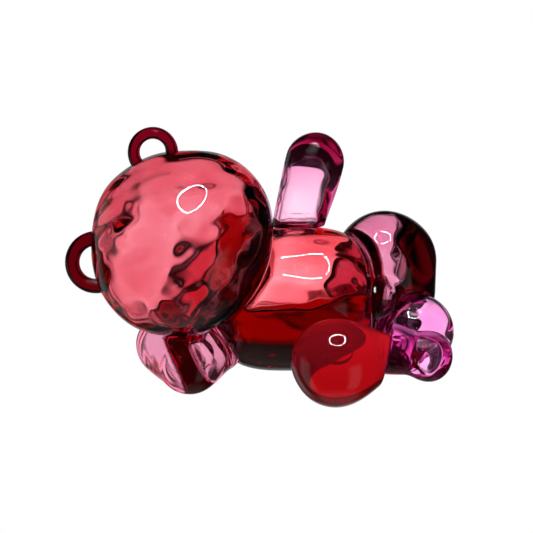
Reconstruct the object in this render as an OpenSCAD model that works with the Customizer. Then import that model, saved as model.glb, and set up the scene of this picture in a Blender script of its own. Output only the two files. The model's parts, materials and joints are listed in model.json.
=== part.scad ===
// Reclining bear figure: hollow, see-through vinyl shells that swivel on snap-in joint pegs.
// The bear lies on its side with its head at -X and its feet at +X. One arm props the head up from
// below and the other is raised. Every point below is measured before origin_shift moves the whole
// figure so that its origin is under the middle of its box.

/* [Shells] */
// Wall thickness of every hollow shell
wall = 4; // [3.2:0.2:4.4]
// Gap between two shells that turn against each other
gap = 0.4; // [0.3:0.05:0.6]
// Height that is ground off each underside so that the figure stands without rocking
flat_depth = 0.3; // [0.2:0.1:0.5]

/* [Head] */
// Radius of the head across the neck's axis
head_wide = 37.4; // [36.4:0.2:37.6]
// Radius of the head along the neck's axis
head_tall = 33; // [32.4:0.2:34]
// Radius of the upper ear loop's centre line
upper_ear_r = 8.2; // [8:0.1:8.6]
// Radius of the lower ear loop's centre line
lower_ear_r = 8.8; // [8.4:0.1:9.2]
// Radius of the ear loops' rod
ear_rod_r = 2.3; // [2.1:0.1:2.5]
// Angle between each ear and the top of the head
ear_spread = 42.3; // [38:0.5:44]

/* [Torso] */
// Half of the torso's length
torso_half = 31; // [30:0.5:32]
// Largest radius of the torso
torso_r = 28; // [27.5:0.25:28.25]
// Squareness of the torso's ends, where 2 is an ellipse
torso_square = 3.2; // [2.8:0.1:3.4]

/* [Arms] */
// Radius of the raised arm's rounded tip
paw_r = 11.2; // [10.4:0.2:11.6]
// Radius of the raised arm at its shoulder
shoulder_r = 9.8; // [9.4:0.2:10.2]
// Length of the raised arm from its shoulder to the middle of its tip
raised_len = 26.8; // [25:0.2:28]
// Radius of the propping arm's elbow
elbow_r = 12.5; // [12:0.1:12.8]
// Radius of the propping arm's hand
hand_r = 12.2; // [11.8:0.1:12.4]
// Radius of the propping arm's shoulder ball
prop_ball_r = 10.4; // [10:0.1:10.6]

/* [Legs] */
// Radius of the front thigh
thigh_r = 17.5; // [17:0.1:17.8]
// Radius of the front ankle
ankle_r = 10.3; // [9.8:0.1:10.5]
// Radius of the front foot's toe
toe_r = 9.4; // [9:0.1:9.8]
// Radius of the rear leg
rear_leg_r = 20; // [19.5:0.1:20.2]
// Radius of the rear foot
rear_foot_r = 15; // [14.6:0.1:15.2]

/* [Pegs] */
// Radius of the neck peg's shaft
neck_peg_r = 5; // [4:0.25:5.5]
// Radius of the front hip peg's and the raised shoulder peg's shaft
limb_peg_r = 3.5; // [3:0.25:4]
// Radius of an ankle peg's and the rear hip peg's shaft
ankle_peg_r = 3; // [2.5:0.25:3.25]
// Thickness of a peg's flanges
flange_t = 1.6; // [1.4:0.1:1.8]
// Radial clearance of a peg's shaft in the shell that turns on it
running_fit = 0.08; // [0.05:0.01:0.1]

/* [Hidden] */

// Moves the figure so that its origin is at the middle of its footprint.
origin_shift = [-0.2, -3.4, 0];

// Centres of the main forms, before origin_shift
torso_c = [13, 13, torso_r - 0.1];
torso_axis = unit([62, -10, 3.5]);
head_c = [-29.6, -6.6, 58.7];
elbow_c = [-27, -13.7, elbow_r - flat_depth];
hand_c = [-35.8, 4.4, hand_r];
prop_ball_c = [-17, 5, 11.5];
raised_axis = unit([0, 0.208, 0.978]);
raised_base_c = torso_c + 1.6 * torso_axis + torso_r * raised_axis;
thigh_c = [29.3, -26.6, thigh_r - flat_depth];
ankle_c = [48.5, -14, 17.8];
toe_c = [64.3, -14, 14.6];
knee_c = [49, 31, 36.6];
shin_c = [49, 31, 25.5];
rear_foot_c = [60.5, 11.6, rear_foot_r - flat_depth];

// Directions of the other joints' axes
neck_axis = unit([37.6, 14.6, -28.7]);
raised_dir = unit([6.9, 5.6, 26.3]);
prop_axis = unit(head_c - prop_ball_c);
stud_axis = unit([0.84, 0.45, 0.3]);
hip_c = torso_c + 16 * torso_axis;
front_hip_axis = unit(thigh_c - hip_c);
front_foot_axis = unit(toe_c - ankle_c);
rear_foot_axis = unit(rear_foot_c - shin_c);

// The ears stand in one plane through the head's centre: along across, turned by an angle towards upright.
face_dir = [-0.105, -0.935, 0.34];
upright = [0, 0.342, 0.94];
across = cross(upright, face_dir);
crown_angle = 151;
upper_ear_reach = 36.4;
lower_ear_reach = 35.6;
ear_root = 1.5;
ear_seam = 160;

stud_ball_r = 5.8;
stud_stem_r = 2.4;
stud_mouth_r = 5.2;
stud_lip = 1.8;
stud_core_r = 1;

// How far a flange stands off the wall that it holds, where the wall curves away from it
neck_stand_off = 1.0;
shoulder_stand_off = 0.9;
front_hip_stand_off = 6.2;
rear_hip_stand_off = 0.8;
ankle_stand_off = 0.3;
heel_stand_off = 0.6;

// Radii of the pegs' flanges, and how far each peg's bores reach
neck_flange_r = neck_peg_r + 2.2;
limb_flange_r = limb_peg_r + 1.6;
ankle_flange_r = ankle_peg_r + 1.2;
pocket_depth = 3;
hip_lug_r = 8;
hip_lug_len = wall + flange_t + gap;
bore_reach = 8;
ankle_bore_reach = 6;
neck_bore_reach = 48;
profile_steps = 28;
big = 80;

function unit(v) = v / norm(v);
function polar(r, a) = [r * cos(a), r * sin(a)];

// Points of a superellipse's right half, from its bottom to its top
function barrel_points(half, r, power) = [
    for (i = [0 : profile_steps])
        let (t = 180 * i / profile_steps)
            [r * pow(abs(sin(t)), 2 / power), -half * sign(cos(t)) * pow(abs(cos(t)), 2 / power)]
];

// Points of the outline round two circles on the axis: one at the origin, one a distance up it
function pod_points(r_low, r_high, dist) =
    let (lean = asin((r_low - r_high) / dist))
        concat(
            [for (i = [0 : profile_steps / 2]) polar(r_low, -90 + (90 + lean) * i / (profile_steps / 2))],
            [for (i = [0 : profile_steps / 2])
                polar(r_high, lean + (90 - lean) * i / (profile_steps / 2)) + [0, dist]]
        );

// Stands children's +Z along a direction at a point
module aimed(point, dir) {
    translate(point)
        rotate([0, acos(dir.z / norm(dir)), atan2(dir.y, dir.x)])
            children();
}

module revolved(points) {
    rotate_extrude($fn = 96) polygon(points);
}

// Capsule with a different radius at each end
module pod(c_low, r_low, c_high, r_high) {
    aimed(c_low, c_high - c_low) revolved(pod_points(r_low, r_high, norm(c_high - c_low)));
}

// Everything on the far side of a plane that passes through a point
module beyond(point, dir) {
    aimed(point, dir) cylinder(r = big, h = big, $fn = 96);
}

module hole_both_ways(point, dir, r, reach) {
    aimed(point - reach * dir, dir) cylinder(r = r, h = 2 * reach, $fn = 64);
}

module below_floor() {
    beyond([0, 0, 0], [0, 0, -1]);
}

// A peg's shaft with a flange at each end, along its axis from a point
module peg(point, dir, r, length, flange_r) {
    aimed(point, dir) {
        cylinder(r = r, h = length, $fn = 64);
        cylinder(r = flange_r, h = flange_t, $fn = 64);
        translate([0, 0, length - flange_t]) cylinder(r = flange_r, h = flange_t, $fn = 64);
    }
}

// Room for a small peg's flange, from a point along a direction
module flange_pocket(point, dir) {
    aimed(point, dir) cylinder(r = ankle_flange_r + gap, h = pocket_depth, $fn = 64);
}

// ---- Forms that neighbours are cut to, each grown by an amount ----

module head_form(grow) {
    aimed(head_c, neck_axis)
        scale([head_wide + grow, head_wide + grow, head_tall + grow]) sphere(r = 1, $fn = 96);
}

module torso_form(grow) {
    aimed(torso_c, torso_axis) revolved(barrel_points(torso_half + grow, torso_r + grow, torso_square));
}

module prop_ball_form(grow) {
    translate(prop_ball_c) sphere(r = prop_ball_r + grow, $fn = 64);
}

module rear_foot_form(grow) {
    translate(rear_foot_c) sphere(r = rear_foot_r + grow, $fn = 96);
}

// ---- Head ----

neck_head_end = head_tall - wall - neck_stand_off;
neck_torso_end = head_tall + gap + wall + ankle_stand_off;

module head_shell() {
    color([0.93, 0.25, 0.38])
        difference() {
            head_form(0);
            head_form(-wall);
            aimed(head_c, neck_axis) cylinder(r = neck_peg_r, h = big, $fn = 64);
        }
}

module ear(angle, reach, loop_r) {
    dir = cos(angle) * across + sin(angle) * upright;
    color([0.62, 0.05, 0.14])
        difference() {
            aimed(head_c + reach * dir, face_dir)
                rotate(ear_seam) rotate_extrude($fn = 96) translate([loop_r, 0]) circle(r = ear_rod_r, $fn = 48);
            head_form(-ear_root);
        }
}

module upper_ear() {
    ear(crown_angle - ear_spread, upper_ear_reach, upper_ear_r);
}

module lower_ear() {
    ear(crown_angle + ear_spread, lower_ear_reach, lower_ear_r);
}

module neck_peg() {
    color([0.95, 0.55, 0.62])
        peg(head_c + (neck_head_end - flange_t) * neck_axis, neck_axis, neck_peg_r,
            neck_torso_end - neck_head_end + 2 * flange_t, neck_flange_r);
}

// ---- Torso ----

module torso_shell() {
    color([0.86, 0.28, 0.36])
        difference() {
            torso_form(0);
            head_form(gap);
            prop_ball_form(gap);
            below_floor();
            difference() {
                torso_form(-wall);
                head_form(gap + wall);
                prop_ball_form(gap + wall);
            }
            aimed(head_c, neck_axis) cylinder(r = neck_peg_r + running_fit, h = neck_bore_reach, $fn = 64);
            hole_both_ways(raised_base_c, raised_axis, limb_peg_r + running_fit, bore_reach);
            aimed(prop_ball_c, stud_axis) cylinder(r = stud_stem_r, h = 24, $fn = 64);
            aimed(hip_c, front_hip_axis) cylinder(r = limb_peg_r + running_fit, h = big, $fn = 64);
            aimed(torso_c, torso_axis) cylinder(r = ankle_peg_r + running_fit, h = big, $fn = 64);
        }
}

// Ball stud that the propping arm's shoulder turns on, with a core hole along the arm's axis
module propping_shoulder_stud() {
    stem = prop_ball_r + gap + wall + heel_stand_off;
    color([0.95, 0.55, 0.62])
        difference() {
            aimed(prop_ball_c, stud_axis) {
                sphere(r = stud_ball_r, $fn = 64);
                cylinder(r = stud_stem_r, h = stem + flange_t, $fn = 48);
                translate([0, 0, stem]) cylinder(r = stud_stem_r + stud_lip, h = flange_t, $fn = 48);
            }
            aimed(prop_ball_c, prop_axis) cylinder(r = stud_core_r, h = stud_ball_r + 1, $fn = 32);
        }
}

// ---- Raised arm ----

module raised_arm_form(shrink) {
    base = raised_base_c - 4 * raised_dir;
    tip = raised_base_c + raised_len * raised_dir;
    pod(base, shoulder_r - shrink, tip, paw_r - shrink);
}

module raised_arm() {
    color([0.93, 0.72, 0.9])
        difference() {
            raised_arm_form(0);
            beyond(raised_base_c + gap * raised_axis, -raised_axis);
            difference() {
                raised_arm_form(wall);
                beyond(raised_base_c + (gap + wall) * raised_axis, -raised_axis);
            }
            hole_both_ways(raised_base_c, raised_axis, limb_peg_r, bore_reach);
        }
}

module raised_shoulder_peg() {
    low = wall + shoulder_stand_off + flange_t;
    color([0.95, 0.7, 0.85])
        peg(raised_base_c - low * raised_axis, raised_axis, limb_peg_r,
            low + gap + wall + flange_t, limb_flange_r);
}

// ---- Propping arm ----

module propping_arm_form(shrink) {
    hull() {
        translate(elbow_c) sphere(r = elbow_r - shrink, $fn = 32);
        translate(hand_c) sphere(r = hand_r - shrink, $fn = 32);
        translate(prop_ball_c) sphere(r = prop_ball_r - 0.2 - shrink, $fn = 32);
    }
}

module propping_arm() {
    color([0.8, 0.4, 0.55])
        difference() {
            union() {
                difference() {
                    propping_arm_form(0);
                    torso_form(gap);
                }
                prop_ball_form(0);
            }
            head_form(gap + 0.2);
            below_floor();
            difference() {
                propping_arm_form(wall);
                head_form(gap + wall);
                prop_ball_form(0.5);
            }
            translate(prop_ball_c) sphere(r = stud_ball_r + running_fit, $fn = 64);
            aimed(prop_ball_c, stud_axis) cylinder(r = stud_mouth_r, h = 30, $fn = 64);
            aimed(prop_ball_c, elbow_c - prop_ball_c) cylinder(r = 2, h = 16, $fn = 32);
        }
}

// ---- Front leg and foot ----

hip_plane = torso_r + gap;

module front_leg_form(shrink) {
    pod(thigh_c, thigh_r - shrink, ankle_c + 2 * front_foot_axis, ankle_r - shrink);
}

module front_leg() {
    color([0.66, 0.02, 0.06])
        difference() {
            front_leg_form(0);
            thigh_side(0);
            beyond(ankle_c - gap / 2 * front_foot_axis, front_foot_axis);
            below_floor();
            difference() {
                front_leg_form(wall);
                thigh_side(wall);
                beyond(ankle_c - wall * front_foot_axis, front_foot_axis);
            }
            aimed(hip_c, front_hip_axis) cylinder(r = limb_peg_r, h = norm(thigh_c - hip_c), $fn = 64);
            hole_both_ways(ankle_c, front_foot_axis, ankle_peg_r + running_fit, ankle_bore_reach);
            flange_pocket(ankle_c - wall * front_foot_axis, -front_foot_axis);
        }
}

// The thigh's flat side, which faces the torso
module thigh_side(depth) {
    beyond(hip_c + (hip_plane + depth) * front_hip_axis, -front_hip_axis);
}

module front_hip_peg() {
    low = wall + front_hip_stand_off + flange_t;
    color([0.8, 0.3, 0.35])
        peg(hip_c + (torso_r - low) * front_hip_axis, front_hip_axis, limb_peg_r,
            low + gap + wall + flange_t, limb_flange_r);
}

module front_foot_form(shrink) {
    pod(ankle_c, ankle_r - 0.4 - shrink, toe_c, toe_r - shrink);
}

module front_foot() {
    color([0.93, 0.5, 0.8])
        difference() {
            front_foot_form(0);
            beyond(ankle_c + gap / 2 * front_foot_axis, -front_foot_axis);
            difference() {
                front_foot_form(wall);
                beyond(ankle_c + wall * front_foot_axis, -front_foot_axis);
            }
            hole_both_ways(ankle_c, front_foot_axis, ankle_peg_r, ankle_bore_reach);
        }
}

module front_ankle_peg() {
    half = wall + ankle_stand_off + flange_t;
    color([0.95, 0.6, 0.8])
        peg(ankle_c - half * front_foot_axis, front_foot_axis, ankle_peg_r, 2 * half - ankle_stand_off,
            ankle_flange_r);
}

// ---- Rear leg and foot ----

module rear_leg_form(shrink) {
    pod(shin_c, rear_leg_r - shrink, knee_c, rear_leg_r - shrink - 0.01);
}

// Lug on the rear leg's near side, round the torso's axis, that the hip peg holds
module hip_lug() {
    aimed(torso_c, torso_axis) cylinder(r = hip_lug_r, h = torso_half + gap + hip_lug_len, $fn = 64);
}

module rear_leg() {
    color([0.75, 0.12, 0.24])
        difference() {
            union() {
                rear_leg_form(0);
                hip_lug();
            }
            torso_form(gap);
            rear_foot_form(gap);
            difference() {
                rear_leg_form(wall);
                torso_form(gap + wall);
                rear_foot_form(gap + wall);
            }
            aimed(torso_c, torso_axis) cylinder(r = ankle_peg_r, h = torso_half + bore_reach, $fn = 64);
            flange_pocket(torso_c + (torso_half + gap + wall) * torso_axis, torso_axis);
            aimed(rear_foot_c, -rear_foot_axis)
                cylinder(r = ankle_peg_r + running_fit, h = rear_foot_r + bore_reach, $fn = 64);
            flange_pocket(rear_foot_c - (rear_foot_r + gap + wall) * rear_foot_axis, -rear_foot_axis);
        }
}

module rear_hip_peg() {
    low = torso_half - wall - rear_hip_stand_off - flange_t;
    color([0.85, 0.35, 0.45])
        peg(torso_c + low * torso_axis, torso_axis, ankle_peg_r,
            torso_half + gap + wall + flange_t - low, ankle_flange_r);
}

module rear_foot() {
    color([0.93, 0.5, 0.8])
        difference() {
            rear_foot_form(0);
            below_floor();
            rear_foot_form(-wall);
            aimed(rear_foot_c, -rear_foot_axis) cylinder(r = ankle_peg_r, h = rear_foot_r + bore_reach, $fn = 64);
        }
}

module rear_ankle_peg() {
    start = rear_foot_r - wall - heel_stand_off - flange_t;
    color([0.95, 0.6, 0.8])
        peg(rear_foot_c - start * rear_foot_axis, -rear_foot_axis, ankle_peg_r,
            2 * wall + gap + neck_stand_off + 2 * flange_t, ankle_flange_r);
}

translate(origin_shift) {
    head_shell();
    upper_ear();
    lower_ear();
    neck_peg();
    torso_shell();
    propping_shoulder_stud();
    raised_arm();
    raised_shoulder_peg();
    propping_arm();
    front_leg();
    front_hip_peg();
    front_foot();
    front_ankle_peg();
    rear_leg();
    rear_hip_peg();
    rear_foot();
    rear_ankle_peg();
}
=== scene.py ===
"""Looks of a reclining bear made of see-through tinted vinyl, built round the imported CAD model.

Every shell is rebuilt as smooth skins: the glossy outside, and the uneven walls of the hollows inside, so
that light bends and darkens through it as in a cast see-through figure. The thigh has no hollow. Lengths are
in millimetres until a mesh is made. The lamps, the floor and the camera's distance are in metres.
"""

import json
import math

import bpy
import numpy as np
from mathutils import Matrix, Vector


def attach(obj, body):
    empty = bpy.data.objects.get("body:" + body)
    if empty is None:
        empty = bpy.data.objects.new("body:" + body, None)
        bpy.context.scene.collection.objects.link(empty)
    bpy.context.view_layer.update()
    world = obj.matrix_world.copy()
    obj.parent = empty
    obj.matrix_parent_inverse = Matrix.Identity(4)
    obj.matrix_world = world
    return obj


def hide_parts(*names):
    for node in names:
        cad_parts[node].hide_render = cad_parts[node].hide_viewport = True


MM = 0.001
ELEVATION = math.radians(20)

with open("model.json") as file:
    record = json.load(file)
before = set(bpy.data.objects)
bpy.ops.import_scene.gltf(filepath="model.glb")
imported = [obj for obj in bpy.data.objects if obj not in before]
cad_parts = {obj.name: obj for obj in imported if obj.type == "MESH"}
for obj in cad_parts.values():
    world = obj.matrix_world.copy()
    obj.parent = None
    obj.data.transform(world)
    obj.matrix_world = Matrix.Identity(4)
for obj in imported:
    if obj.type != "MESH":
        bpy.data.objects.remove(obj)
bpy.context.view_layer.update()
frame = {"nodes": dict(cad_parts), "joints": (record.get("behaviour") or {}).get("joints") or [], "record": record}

# ---- Places, from the frame's joints and rest faces ----


def unit(v):
    v = np.asarray(v, float)
    return v / np.linalg.norm(v)


JOINTS = {j["name"]: j for j in frame["joints"]}
MOUNTS = {m["name"]: m for m in frame["record"]["mounts"]}


def joint_point(name):
    return np.array(JOINTS[name]["pos_m"]) / MM


def joint_axis(name):
    return unit(JOINTS[name]["axis"])


HEAD_C, NECK = joint_point("neck_swivel"), joint_axis("neck_swivel")
TORSO_C, SPINE = joint_point("rear_hip_swivel"), joint_axis("rear_hip_swivel")
SHOULDER_C, SHOULDER_UP = joint_point("raised_arm_swivel"), joint_axis("raised_arm_swivel")
BALL_C = joint_point("propping_arm_swivel")
THIGH_C, HIP_OUT = joint_point("front_hip_swivel"), joint_axis("front_hip_swivel")
ANKLE_C, TOEWARD = joint_point("front_ankle_swivel"), joint_axis("front_ankle_swivel")
HEEL_C, HEEL_OUT = joint_point("rear_ankle_swivel"), joint_axis("rear_ankle_swivel")

# Radii and lengths of the forms
HEAD_WIDE, HEAD_TALL = 37.4, 33.0
TORSO_HALF, TORSO_R, TORSO_SQUARE = 31.0, 28.0, 3.2
ELBOW_R, HAND_R, BALL_R = 12.5, 12.2, 10.4
SHOULDER_R, PAW_R, RAISED_LEN = 9.8, 11.2, 26.8
THIGH_R, ANKLE_R, TOE_R = 17.5, 10.3, 9.4
HIP_R, HEEL_R, LUG_R = 20.0, 15.0, 8.0

ELBOW_C = np.array(MOUNTS["elbow_rest"]["pos_m"]) / MM + [0, 0, 12.2]
HAND_C = ELBOW_C + [-8.8, 18.1, 0]
RAISED_DIR = unit([6.9, 5.6, 26.3])
PAW_C = SHOULDER_C + RAISED_LEN * RAISED_DIR
TOE_C = ANKLE_C + 16.1 * TOEWARD
SHIN_C = HEEL_C - 25.0 * HEEL_OUT
KNEE_C = SHIN_C + [0, 0, 11.1]
LUG_ROOT = SHIN_C + [0, -12, 4]
LUG_C = TORSO_C + (TORSO_HALF + 1.5) * SPINE

# The front foot: a round toe on a slimmer stem
ROUND_TOE_R = TOE_R + 0.4
STEM_ANKLE_R, STEM_TOE_R = ANKLE_R - 0.4, TOE_R - 1.4

# The ears' plane, through the head's centre
FACE = unit([-0.105, -0.935, 0.34])
UPRIGHT = unit([0, 0.342, 0.94])
ACROSS = np.cross(UPRIGHT, FACE)

# Gap between two forms, and half of the narrower one at the front ankle
GAP, ANKLE_HALF_GAP = 0.45, 0.2
# How far from the thigh's middle its flat side lies, and how deep the floor cuts into what rests on it
THIGH_FLAT = 10.4
FLOOR_CUT = 0.05
# The thinnest wall outside a hollow
THINNEST = 1.2

# How softly an edge is rounded where one form is cut by another, and how softly two forms run together
FLOOR_EDGE, JOINT_EDGE, ARM_TORSO_EDGE, BALL_EDGE = 0.5, 0.8, 1.0, 1.5
ARM_HEAD_EDGE, SEAT_EDGE, THIGH_FLAT_EDGE = 1.6, 2.0, 6.0
RUN_TOGETHER = 2.0

# Where the head swells and sinks: the angle in the ears' plane, the width, and the share of the radius
HEAD_SWELLS = ((146, 26, 0.045), (86, 20, -0.055))

# Unevenness: how far the outsides ripple, and the lengths of the waves
OUTSIDE_WAVE = 0.19
OUTSIDE_LENGTH, SWELL_LENGTH, RIPPLE_LENGTH = 21, 22, 8

# ---- Fields: negative inside a form, zero on its skin ----

NOT_ZERO = 1e-9


def length(v):
    return np.sqrt((v * v).sum(-1))


def smooth_max(a, b, k):
    h = np.clip(0.5 + 0.5 * (a - b) / k, 0, 1)
    return b + (a - b) * h + k * h * (1 - h)


def smooth_min(a, b, k):
    return -smooth_max(-a, -b, k)


def ball(p, centre, radius):
    return length(p - centre) - radius


def beyond(p, point, direction):
    """Positive on the far side of a plane through a point."""
    return (p - point) @ direction


def limb(p, a, b, radius_a, radius_b):
    """A capsule whose radius goes smoothly from one end's to the other's."""
    ab = b - a
    t = np.clip((p - a) @ ab / (ab @ ab), 0, 1)
    ease = t * t * (3 - 2 * t)
    return length(p - a - t[..., None] * ab) - radius_a - (radius_b - radius_a) * ease


def towards(directions, aim, width_deg):
    """1 in one direction, falling to nothing over a width."""
    return np.exp((directions @ aim - 1) / (1 - math.cos(math.radians(width_deg))))


def in_face_plane(angle_deg):
    a = math.radians(angle_deg)
    return unit(math.cos(a) * ACROSS + math.sin(a) * UPRIGHT)


def waves(p, wavelength, seed, count=7):
    """Smooth unevenness of about -1 to 1: a sum of plane waves in seeded directions."""
    rng = np.random.RandomState(seed)
    total = 0
    for _ in range(count):
        d = unit(rng.normal(size=3))
        stretch = rng.uniform(0.75, 1.35)
        phase = rng.uniform(0, 2 * math.pi)
        total = total + np.sin(p @ d * (2 * math.pi / (wavelength * stretch)) + phase)
    return total / math.sqrt(count)


def floor_side(p):
    return FLOOR_CUT - p[..., 2]


def head_radius(along):
    """The flattened round head's radius in a direction, from the direction's share along the neck."""
    return 1 / np.sqrt((along / HEAD_TALL) ** 2 + (1 - along**2) / HEAD_WIDE**2)


def head_round(p):
    """The head's true round form, which its neighbours are hollowed out to."""
    d = p - HEAD_C
    dist = length(d) + NOT_ZERO
    return dist - head_radius((d @ NECK) / dist)


def head(p):
    d = p - HEAD_C
    dist = length(d) + NOT_ZERO
    directions = d / dist[..., None]
    r = head_radius(directions @ NECK)
    for angle_deg, width_deg, share in HEAD_SWELLS:
        r = r * (1 + share * towards(directions, in_face_plane(angle_deg), width_deg))
    return dist - r


def torso(p):
    d = p - TORSO_C
    along = d @ SPINE
    across = length(d - along[..., None] * SPINE)
    power = TORSO_SQUARE
    barrel = (np.abs(along / TORSO_HALF) ** power + (across / TORSO_R) ** power) ** (1 / power)
    f = (barrel - 1) * TORSO_R
    f = smooth_max(f, GAP - head_round(p), SEAT_EDGE)
    f = smooth_max(f, GAP - ball(p, BALL_C, BALL_R), BALL_EDGE)
    return smooth_max(f, floor_side(p), FLOOR_EDGE)


def raised_arm(p):
    f = limb(p, SHOULDER_C - 4 * RAISED_DIR, PAW_C, SHOULDER_R, PAW_R)
    return smooth_max(f, -beyond(p, SHOULDER_C + GAP * SHOULDER_UP, SHOULDER_UP), JOINT_EDGE)


def web(p, corners, radii):
    """A flat triangle, made thick by a radius that goes smoothly from corner to corner."""
    a, b, c = corners
    normal = unit(np.cross(b - a, c - a))
    lift = (p - a) @ normal
    q = p - lift[..., None] * normal
    edges = np.stack([b - a, c - a], -1)
    weights = (q - a) @ np.linalg.pinv(edges).T
    share = np.stack([1 - weights.sum(-1), weights[..., 0], weights[..., 1]], -1)
    inside = (share >= 0).all(-1)
    share = np.clip(share, 0, 1)
    share /= share.sum(-1)[..., None]
    thick = np.abs(lift) - share @ np.array(radii)
    rims = np.minimum(limb(p, a, b, radii[0], radii[1]), limb(p, b, c, radii[1], radii[2]))
    rims = np.minimum(rims, limb(p, c, a, radii[2], radii[0]))
    return np.where(inside, thick, rims)


def propping_arm(p):
    """A bent arm whose crook is filled."""
    f = web(p, (ELBOW_C, HAND_C, BALL_C), (ELBOW_R, HAND_R, BALL_R))
    f = smooth_max(f, GAP - head_round(p), ARM_HEAD_EDGE)
    f = smooth_max(f, GAP - torso(p), ARM_TORSO_EDGE)
    return smooth_max(f, floor_side(p), FLOOR_EDGE)


def front_leg(p):
    """The flat side towards the torso cuts through the ankle too, so that end is only partly closed round."""
    f = limb(p, THIGH_C, ANKLE_C + 2 * TOEWARD, THIGH_R, ANKLE_R)
    f = smooth_max(f, -beyond(p, THIGH_C - THIGH_FLAT * HIP_OUT, HIP_OUT), THIGH_FLAT_EDGE)
    f = smooth_max(f, beyond(p, ANKLE_C - ANKLE_HALF_GAP * TOEWARD, TOEWARD), JOINT_EDGE)
    return smooth_max(f, floor_side(p), FLOOR_EDGE)


def front_foot(p):
    stem = limb(p, ANKLE_C, TOE_C, STEM_ANKLE_R, STEM_TOE_R)
    f = smooth_min(ball(p, TOE_C, ROUND_TOE_R), stem, RUN_TOGETHER)
    return smooth_max(f, -beyond(p, ANKLE_C + ANKLE_HALF_GAP * TOEWARD, TOEWARD), JOINT_EDGE)


def rear_leg(p):
    f = limb(p, SHIN_C, KNEE_C, HIP_R, HIP_R)
    f = smooth_min(f, limb(p, LUG_ROOT, LUG_C, LUG_R, LUG_R), RUN_TOGETHER)
    f = smooth_max(f, GAP - torso(p), SEAT_EDGE)
    return smooth_max(f, GAP - ball(p, HEEL_C, HEEL_R), BALL_EDGE)


def rear_foot(p):
    return smooth_max(ball(p, HEEL_C, HEEL_R), floor_side(p), FLOOR_EDGE)


# ---- Meshes ----

# How often a found skin is closed in on by halves, and a hollow's share of its outside's squares
HALVINGS = 22
HOLLOW_SHARE = 0.9

# The ears' rods: the arc that they bend through, how fast they thicken at the ends, and how deep they go in
EAR_ARC_DEG = (-62, 242)
EAR_FLARE_POWER = 6
EAR_ROOT_DEPTH = 2.4


def star_grid(n):
    """Even directions over a sphere, as a cube's six sides of n by n squares, and the squares' corners."""
    a = np.tan(np.linspace(-math.pi / 4, math.pi / 4, n + 1))
    u, v = np.meshgrid(a, a, indexing="ij")
    one = np.ones_like(u)
    sides = []
    for sign in (1, -1):
        sides += [(sign * one, u, v), (u, sign * one, v), (u, v, sign * one)]
    points = np.concatenate([np.stack(s, -1).reshape(-1, 3) for s in sides])
    index = np.arange((n + 1) ** 2).reshape(n + 1, n + 1)
    corners = [index[:-1, :-1], index[1:, :-1], index[1:, 1:], index[:-1, 1:]]
    square = np.stack([c.ravel() for c in corners], -1)
    quads = np.concatenate([square + i * (n + 1) ** 2 for i in range(6)])
    keys, first, inverse = np.unique(np.round(points, 6), axis=0, return_index=True, return_inverse=True)
    points = points[first]
    quads = inverse.reshape(-1)[quads]
    points /= length(points)[:, None]
    middle = points[quads].mean(1)
    normal = np.cross(points[quads[:, 1]] - points[quads[:, 0]], points[quads[:, 2]] - points[quads[:, 0]])
    inward = (normal * middle).sum(-1) < 0
    quads[inward] = quads[inward][:, ::-1]
    return points, quads


def star_skin(centre, field, n, reach, steps=72):
    """The first skin that a field has in each direction from a centre: its points and its squares."""
    directions, quads = star_grid(n)
    count = len(directions)
    low = np.zeros(count)
    high = np.full(count, float(reach))
    open_rays = np.ones(count, bool)
    for t in np.linspace(0, reach, steps)[1:]:
        f = field(centre + t * directions)
        crossed = open_rays & (f > 0)
        high[crossed] = t
        open_rays &= ~crossed
        low[open_rays] = t
        if not open_rays.any():
            break
    for _ in range(HALVINGS):
        mid = (low + high) / 2
        outside = field(centre + mid[:, None] * directions) > 0
        high = np.where(outside, mid, high)
        low = np.where(outside, low, mid)
    return centre + ((low + high) / 2)[:, None] * directions, quads


def mesh_object(name, points, faces):
    mesh = bpy.data.meshes.new(name)
    mesh.from_pydata((points * MM).tolist(), [], faces)
    mesh.shade_smooth()
    mesh.update()
    obj = bpy.data.objects.new(name, mesh)
    bpy.context.scene.collection.objects.link(obj)
    return obj


def shell(name, body, nodes, field, centre, reach, n, hollows, seed, finish):
    """One piece: its outside, and the uneven skins of its hollows, facing the other way.

    Each hollow is its centre, its field, and how far it swells and ripples.
    """

    def outside(p):
        return field(p) + OUTSIDE_WAVE * waves(p, OUTSIDE_LENGTH, seed + 50)

    points, faces = star_skin(centre, outside, n, reach)
    for i, (middle, hollow, swell, ripple) in enumerate(hollows):

        def uneven(p):
            skin = hollow(p) + swell * waves(p, SWELL_LENGTH, seed + i)
            skin = skin + ripple * waves(p, RIPPLE_LENGTH, seed + 100 + i)
            return np.maximum(skin, field(p) + THINNEST)

        inner, quads = star_skin(middle, uneven, int(n * HOLLOW_SHARE), reach)
        faces = np.concatenate([faces, quads[:, ::-1] + len(points)])
        points = np.concatenate([points, inner])
    obj = mesh_object(name, points, faces.tolist())
    obj.data.materials.append(finish)
    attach(obj, body)
    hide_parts(*nodes)


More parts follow.
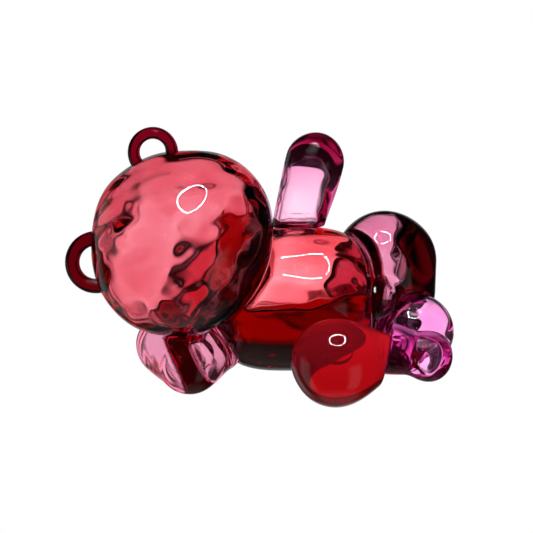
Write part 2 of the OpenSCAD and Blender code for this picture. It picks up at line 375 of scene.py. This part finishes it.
def ear_loop(name, node, angle_deg, reach, loop_r, rod_r, flare, finish):
    """An open ring ear: a round rod bent round a loop, thicker where it runs into the head."""
    outward = in_face_plane(angle_deg)
    side = np.cross(FACE, outward)
    centre = HEAD_C + reach * outward
    around, section = 96, 40
    start, end = (math.radians(a) for a in EAR_ARC_DEG)
    rings = []
    for i in range(around + 1):
        t = i / around
        a = start + (end - start) * t
        radial = math.cos(a) * side + math.sin(a) * outward
        middle = centre + loop_r * radial
        r = rod_r + flare * abs(2 * t - 1) ** EAR_FLARE_POWER
        ring = [middle + r * (math.cos(b) * radial + math.sin(b) * FACE)
                for b in np.linspace(0, 2 * math.pi, section, endpoint=False)]
        rings.append(ring)
    rings = np.array(rings)
    depth = -head(rings.reshape(-1, 3)).reshape(rings.shape[:2])
    keep = np.where(depth.max(1) < EAR_ROOT_DEPTH)[0]
    rings = rings[keep[0]:keep[-1] + 1]
    count = len(rings)
    points = rings.reshape(-1, 3)
    faces = []
    for i in range(count - 1):
        for j in range(section):
            k = (j + 1) % section
            faces.append([i * section + j, i * section + k, (i + 1) * section + k, (i + 1) * section + j])
    for i, turn in ((0, 1), (count - 1, -1)):
        hub = len(points)
        points = np.concatenate([points, rings[i].mean(0)[None]])
        for j in range(section):
            k = (j + 1) % section
            pair = [i * section + j, i * section + k][::turn]
            faces.append([hub, pair[1], pair[0]])
    obj = mesh_object(name, points, faces)
    obj.data.materials.append(finish)
    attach(obj, "head")
    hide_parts(node)


# ---- Materials ----

# The fine noise that varies the gloss and gives the skin a slight grain
NOISE_SCALE, NOISE_DETAIL = 70, 2
ROUGHEST = 0.02
GRAIN, GRAIN_DEPTH = 0.02, 1
# How nearly the volume's own colour lacks the colour that is taken away most: its density makes up the rest
DEEPEST = 0.97


def tinted_vinyl(name, absorb, ior=1.5, coat=0.0, body=(1, 1, 1), clear=1.0):
    """Clear vinyl that takes away a share of red, green and blue light for each millimetre of it.

    A cloudy one also has a body colour and is clear only in part.
    """
    mat = bpy.data.materials.new(name)
    mat.use_nodes = True
    nodes, links = mat.node_tree.nodes, mat.node_tree.links
    shader = nodes["Principled BSDF"]
    shader.inputs["Base Color"].default_value = (*body, 1)
    shader.inputs["Transmission Weight"].default_value = clear
    shader.inputs["IOR"].default_value = ior
    shader.inputs["Coat Weight"].default_value = coat
    where = nodes.new("ShaderNodeTexCoord")
    skin = nodes.new("ShaderNodeTexNoise")
    skin.inputs["Scale"].default_value = NOISE_SCALE
    skin.inputs["Detail"].default_value = NOISE_DETAIL
    links.new(where.outputs["Object"], skin.inputs["Vector"])
    gloss = nodes.new("ShaderNodeMapRange")
    gloss.inputs["To Min"].default_value = 0.0
    gloss.inputs["To Max"].default_value = ROUGHEST
    links.new(skin.outputs["Fac"], gloss.inputs["Value"])
    links.new(gloss.outputs["Result"], shader.inputs["Roughness"])
    bump = nodes.new("ShaderNodeBump")
    bump.inputs["Strength"].default_value = GRAIN
    bump.inputs["Distance"].default_value = GRAIN_DEPTH * MM
    links.new(skin.outputs["Fac"], bump.inputs["Height"])
    links.new(bump.outputs["Normal"], shader.inputs["Normal"])
    density = max(absorb) / DEEPEST / MM
    volume = nodes.new("ShaderNodeVolumeAbsorption")
    volume.inputs["Density"].default_value = density
    volume.inputs["Color"].default_value = (*[1 - a / MM / density for a in absorb], 1)
    links.new(volume.outputs["Volume"], nodes["Material Output"].inputs["Volume"])
    return mat


HEAD_TINT = tinted_vinyl("rose_vinyl", (0.050, 0.250, 0.215))
EAR_TINT = tinted_vinyl("garnet_vinyl", (0.46, 1.70, 1.10))
TORSO_TINT = tinted_vinyl("coral_vinyl", (0.034, 0.35, 0.31))
ARM_TINT = tinted_vinyl("lilac_vinyl", (0.085, 0.32, 0.19))
PROP_TINT = tinted_vinyl("mauve_vinyl", (0.012, 0.16, 0.11), body=(0.82, 0.80, 0.84))
THIGH_TINT = tinted_vinyl("ruby_vinyl", (0.014, 0.07, 0.07), ior=1.2, coat=1.0,
                          body=(0.66, 0.012, 0.028), clear=0.72)
HIP_TINT = tinted_vinyl("wine_vinyl", (0.090, 0.29, 0.20))
FOOT_TINT = tinted_vinyl("magenta_vinyl", (0.016, 0.130, 0.048))
PEG_CLEAR = tinted_vinyl("clear_pegs", (0.002, 0.010, 0.008), ior=1.03)

# ---- Hollows ----

# The walls outside them
HEAD_WALL, TORSO_WALL, HIP_WALL, ARM_WALL = 4.0, 2.8, 2.6, 2.8
TOE_WALL, HEEL_WALL = 3.0, 4.2

# Where they end inside: along the neck, up the view that the camera has, and along X
HEAD_END, TORSO_FLOOR, HIP_END = 18, 25, 55


def head_hollow(p):
    """Thin at the crown and thick towards the neck."""
    end = beyond(p, HEAD_C, NECK) - HEAD_END + 1.3 * waves(p, 18, 7)
    return smooth_max(head(p) + HEAD_WALL, end, 4)


def torso_hollow(p):
    """Its floor slopes down to the back, and the underside is solid."""
    height = p[..., 2] * math.cos(ELEVATION) + p[..., 1] * math.sin(ELEVATION)
    return smooth_max(torso(p) + TORSO_WALL, TORSO_FLOOR - height + 4.0 * waves(p, 34, 9), 3)


def raised_hollow(p):
    """Close to the front and the back, with a thicker tip and right side."""
    middle = (SHOULDER_C + PAW_C) / 2 + [-1.6, 0, -1]
    q = middle + (p - middle) * [1, 0.87, 1]
    f = limb(q, SHOULDER_C + [-0.8, 0, 0], PAW_C + [-1.5, 0, -4.6], 8.4, 9.0)
    return smooth_max(f, 2.4 - beyond(p, SHOULDER_C, SHOULDER_UP), 1.5)


TOE_HOLLOW_C = TOE_C + [-0.8, 0, 0]


def toe_hollow(p):
    return ball(p, TOE_HOLLOW_C, TOE_R - TOE_WALL)


def heel_hollow(p):
    return rear_foot(p) + HEEL_WALL


def hip_hollow(p):
    """On the side towards the torso: the rest is solid."""
    return smooth_max(rear_leg(p) + HIP_WALL, p[..., 0] - HIP_END + 2.0 * waves(p, 18, 5), 2)


# Across the slanting web in the propping arm's crook
STRIPE = unit([0.9, 0, 0.44])


def forearm_hollow(p):
    """On the left of a slanting web that is left solid."""
    return smooth_max(propping_arm(p) + ARM_WALL, beyond(p, ELBOW_C + [-3.5, 0, 0], STRIPE), 2)


def upper_arm_hollow(p):
    """On the right of that web."""
    return smooth_max(propping_arm(p) + ARM_WALL, -beyond(p, ELBOW_C + [2.5, 0, 0], STRIPE), 2)


# ---- Pieces ----

shell("head", "head", ["head_shell"], head, HEAD_C, 60, 84,
      [(HEAD_C - 10 * NECK, head_hollow, 0.5, 0.14)], 11, HEAD_TINT)
shell("torso", "torso", ["torso_shell"], torso, TORSO_C, 60, 84,
      [(TORSO_C + [2, 0, 12], torso_hollow, 0.6, 0.14)], 21, TORSO_TINT)
shell("raised_arm_skin", "raised_arm", ["raised_arm"], raised_arm,
      SHOULDER_C + 14 * RAISED_DIR, 45, 56,
      [(SHOULDER_C + 13 * RAISED_DIR + [-1.6, 0, 0], raised_hollow, 0.35, 0.16)], 31, ARM_TINT)
shell("propping_arm_skin", "propping_arm", ["propping_arm"], propping_arm,
      ELBOW_C * 0.4 + HAND_C * 0.3 + BALL_C * 0.3, 45, 60,
      [(HAND_C + [0.3, -4.5, 0], forearm_hollow, 0.25, 0.03),
       (BALL_C * 0.6 + ELBOW_C * 0.4 + [3.5, 0, 0], upper_arm_hollow, 0.25, 0.03)], 41, PROP_TINT)
shell("front_leg_skin", "front_leg", ["front_leg"], front_leg,
      THIGH_C * 0.7 + ANKLE_C * 0.3, 50, 60, [], 51, THIGH_TINT)
shell("front_foot_skin", "front_foot", ["front_foot"], front_foot,
      (ANKLE_C + TOE_C) / 2, 35, 48,
      [(TOE_HOLLOW_C, toe_hollow, 1.1, 0.6)], 61, FOOT_TINT)
shell("rear_leg_skin", "rear_leg", ["rear_leg"], rear_leg,
      (SHIN_C + KNEE_C) / 2, 50, 64,
      [((SHIN_C + KNEE_C) / 2 + [0, 5, 2], hip_hollow, 0.5, 0.15)], 71, HIP_TINT)
shell("rear_foot_skin", "rear_foot", ["rear_foot"], rear_foot, HEEL_C, 30, 48,
      [(HEEL_C, heel_hollow, 1.6, 0.6)], 81, FOOT_TINT)
ear_loop("upper_ear_loop", "upper_ear", 108.5, 35.9, 7.35, 2.3, 1.2, EAR_TINT)
ear_loop("lower_ear_loop", "lower_ear", 193.5, 34.3, 9.1, 2.8, 1.2, EAR_TINT)

PEGS = ("neck_peg", "raised_shoulder_peg", "propping_shoulder_stud", "front_hip_peg",
        "front_ankle_peg", "rear_hip_peg", "rear_ankle_peg")
for name in PEGS:
    peg = frame["nodes"][name]
    peg.data.materials.clear()
    peg.data.materials.append(PEG_CLEAR)

# ---- Studio ----

WHITE = (1, 1, 1)

# The ring lamp's place, the point that it faces, its radius, its tube's radius and its strength
RING_PLACE, RING_AIM = (-0.03, -0.25, 1.05), (0, 0, 0.05)
RING_R, RING_TUBE_R, RING_STRENGTH = 0.31, 0.006, 160
SPOT_COUNT, SPOT_R, SPOT_STRENGTH = 3, 0.006, 300

FLOOR_R, FLOOR_DROP = 0.6, 0.0002

# The pale panels that bent rays see: each one's bearing and half width, and its soft sides, in degrees
PANELS = ((90, 19), (135, 12), (-45, 15), (180, 15))
PANEL_SIDE = 7
# Heights in degrees over which the panels begin, they end, and the light below them ends
PANEL_FOOT, PANEL_TOP, UNDER_TOP = (-62, -40), (0, 9), (-72, -50)
PANEL_LEVEL, UNDER_LEVEL, DARK_LEVEL = 1.95, 0.9, 0.06
# The share of all this that first reflections lose
MIRROR_LOSS = 0.8


def emitter(name, colour, strength):
    mat = bpy.data.materials.new(name)
    mat.use_nodes = True
    nodes, links = mat.node_tree.nodes, mat.node_tree.links
    nodes.remove(nodes["Principled BSDF"])
    glow = nodes.new("ShaderNodeEmission")
    glow.inputs["Color"].default_value = (*colour, 1)
    glow.inputs["Strength"].default_value = strength
    links.new(glow.outputs["Emission"], nodes["Material Output"].inputs["Surface"])
    return mat


def ring_light(centre_m, aim_m, radius, tube, mat):
    bpy.ops.mesh.primitive_torus_add(
        major_radius=radius, minor_radius=tube, major_segments=96, minor_segments=12)
    ring = bpy.context.object
    ring.name = "ring_lamp"
    ring.location = centre_m
    ring.rotation_mode = "QUATERNION"
    ring.rotation_quaternion = (Vector(aim_m) - Vector(centre_m)).to_track_quat("-Z", "Y")
    ring.data.materials.append(mat)
    ring.visible_camera = False


def dot_light(place_m, radius, mat):
    bpy.ops.mesh.primitive_uv_sphere_add(radius=radius, location=place_m, segments=16, ring_count=8)
    dot = bpy.context.object
    dot.name = "spot_lamp"
    dot.data.materials.append(mat)
    dot.visible_camera = False


ring_light(RING_PLACE, RING_AIM, RING_R, RING_TUBE_R, emitter("ring_glow", WHITE, RING_STRENGTH))
for i in range(SPOT_COUNT):
    place = (-0.62 + 0.035 * i, -0.75, 0.62 + 0.012 * (i % 2))
    dot_light(place, SPOT_R, emitter(f"spot_glow_{i}", WHITE, SPOT_STRENGTH))


def studio_world():
    """White where the camera sees it directly, and a patterned room for the rays that the vinyl bends.

    The room has pale panels on some sides below the horizon, light straight below, and is dark elsewhere.
    First reflections see the same room, dimmed.
    """
    world = bpy.data.worlds.new("studio")
    bpy.context.scene.world = world
    world.use_nodes = True
    nodes, links = world.node_tree.nodes, world.node_tree.links
    nodes.clear()

    def math_node(kind, a, b=None, clamp=False):
        node = nodes.new("ShaderNodeMath")
        node.operation = kind
        node.use_clamp = clamp
        for i, value in enumerate((a, b)):
            if isinstance(value, (int, float)):
                node.inputs[i].default_value = value
            elif value is not None:
                links.new(value, node.inputs[i])
        return node.outputs[0]

    def ramp(value, low, high):
        node = nodes.new("ShaderNodeMapRange")
        node.interpolation_type = "SMOOTHSTEP"
        node.inputs["From Min"].default_value = low
        node.inputs["From Max"].default_value = high
        links.new(value, node.inputs["Value"])
        return node.outputs["Result"]

    where = nodes.new("ShaderNodeTexCoord")
    split = nodes.new("ShaderNodeSeparateXYZ")
    links.new(where.outputs["Generated"], split.inputs["Vector"])
    degrees = 180 / math.pi
    height = math_node("MULTIPLY", math_node("ARCSINE", split.outputs["Z"]), degrees)
    bearing = math_node("MULTIPLY", math_node("ARCTAN2", split.outputs["Y"], split.outputs["X"]), degrees)

    def patch(middle_deg, half_deg):
        """1 within a bearing's half width, 0 outside it. A turn and a half keeps the remainder positive."""
        turned = math_node("ADD", bearing, 540 - middle_deg)
        wrapped = math_node("SUBTRACT", math_node("MODULO", turned, 360), 180)
        off = math_node("ABSOLUTE", wrapped)
        return math_node("SUBTRACT", 1, ramp(off, half_deg - PANEL_SIDE, half_deg + PANEL_SIDE))

    sweep = patch(*PANELS[0])
    for place in PANELS[1:]:
        sweep = math_node("MAXIMUM", sweep, patch(*place))
    low_edge = ramp(height, *PANEL_FOOT)
    under = math_node("MULTIPLY", math_node("SUBTRACT", 1, ramp(height, *UNDER_TOP)), UNDER_LEVEL)
    high_edge = math_node("SUBTRACT", 1, ramp(height, *PANEL_TOP))
    panel = math_node("MULTIPLY", math_node("MULTIPLY", sweep, low_edge), high_edge)
    level = math_node("ADD", math_node("MULTIPLY", panel, PANEL_LEVEL), math_node("ADD", under, DARK_LEVEL))

    # A bent ray counts as glossy too, so only what is glossy and not bent is a first reflection
    path = nodes.new("ShaderNodeLightPath")
    glossy, bent = path.outputs["Is Glossy Ray"], path.outputs["Is Transmission Ray"]
    mirrored = math_node("SUBTRACT", glossy, bent, clamp=True)
    kept = math_node("SUBTRACT", 1, math_node("MULTIPLY", mirrored, MIRROR_LOSS))
    level = math_node("MULTIPLY", level, kept)

    pattern = nodes.new("ShaderNodeBackground")
    links.new(level, pattern.inputs["Strength"])
    white = nodes.new("ShaderNodeBackground")
    white.inputs["Color"].default_value = (*WHITE, 1)
    mix = nodes.new("ShaderNodeMixShader")
    links.new(path.outputs["Is Camera Ray"], mix.inputs["Fac"])
    links.new(pattern.outputs["Background"], mix.inputs[1])
    links.new(white.outputs["Background"], mix.inputs[2])
    out = nodes.new("ShaderNodeOutputWorld")
    links.new(mix.outputs["Shader"], out.inputs["Surface"])


studio_world()


def pale_floor():
    bpy.ops.mesh.primitive_circle_add(
        vertices=128, radius=FLOOR_R, fill_type="NGON", location=(0, 0, -FLOOR_DROP))
    floor = bpy.context.object
    floor.name = "floor"
    floor.data.materials.append(emitter("pale_floor", WHITE, 1))
    floor.visible_transmission = False
    floor.visible_glossy = False
    floor.visible_diffuse = False
    floor.visible_shadow = False


pale_floor()

# ---- Camera ----

# How far back it stands, the width seen from there, its sensor's width in millimetres, and its aim
CAMERA_BACK = 1.6
VIEW_WIDTH = 0.2052
SENSOR_WIDTH = 36
AIM = Vector((2.3, 0, 44.8)) * MM


def camera():
    data = bpy.data.cameras.new("camera")
    data.sensor_width = SENSOR_WIDTH
    data.lens = data.sensor_width * CAMERA_BACK / VIEW_WIDTH
    cam = bpy.data.objects.new("camera", data)
    bpy.context.scene.collection.objects.link(cam)
    back = Vector((0, -math.cos(ELEVATION), math.sin(ELEVATION)))
    cam.location = AIM + CAMERA_BACK * back
    cam.rotation_mode = "QUATERNION"
    cam.rotation_quaternion = (-back).to_track_quat("-Z", "Y")
    bpy.context.scene.camera = cam


camera()

scene = bpy.context.scene
scene.view_settings.view_transform = "Standard"
scene.cycles.max_bounces = 32
scene.cycles.transmission_bounces = 32
scene.cycles.glossy_bounces = 16
scene.cycles.volume_bounces = 0
scene.cycles.use_denoising = True
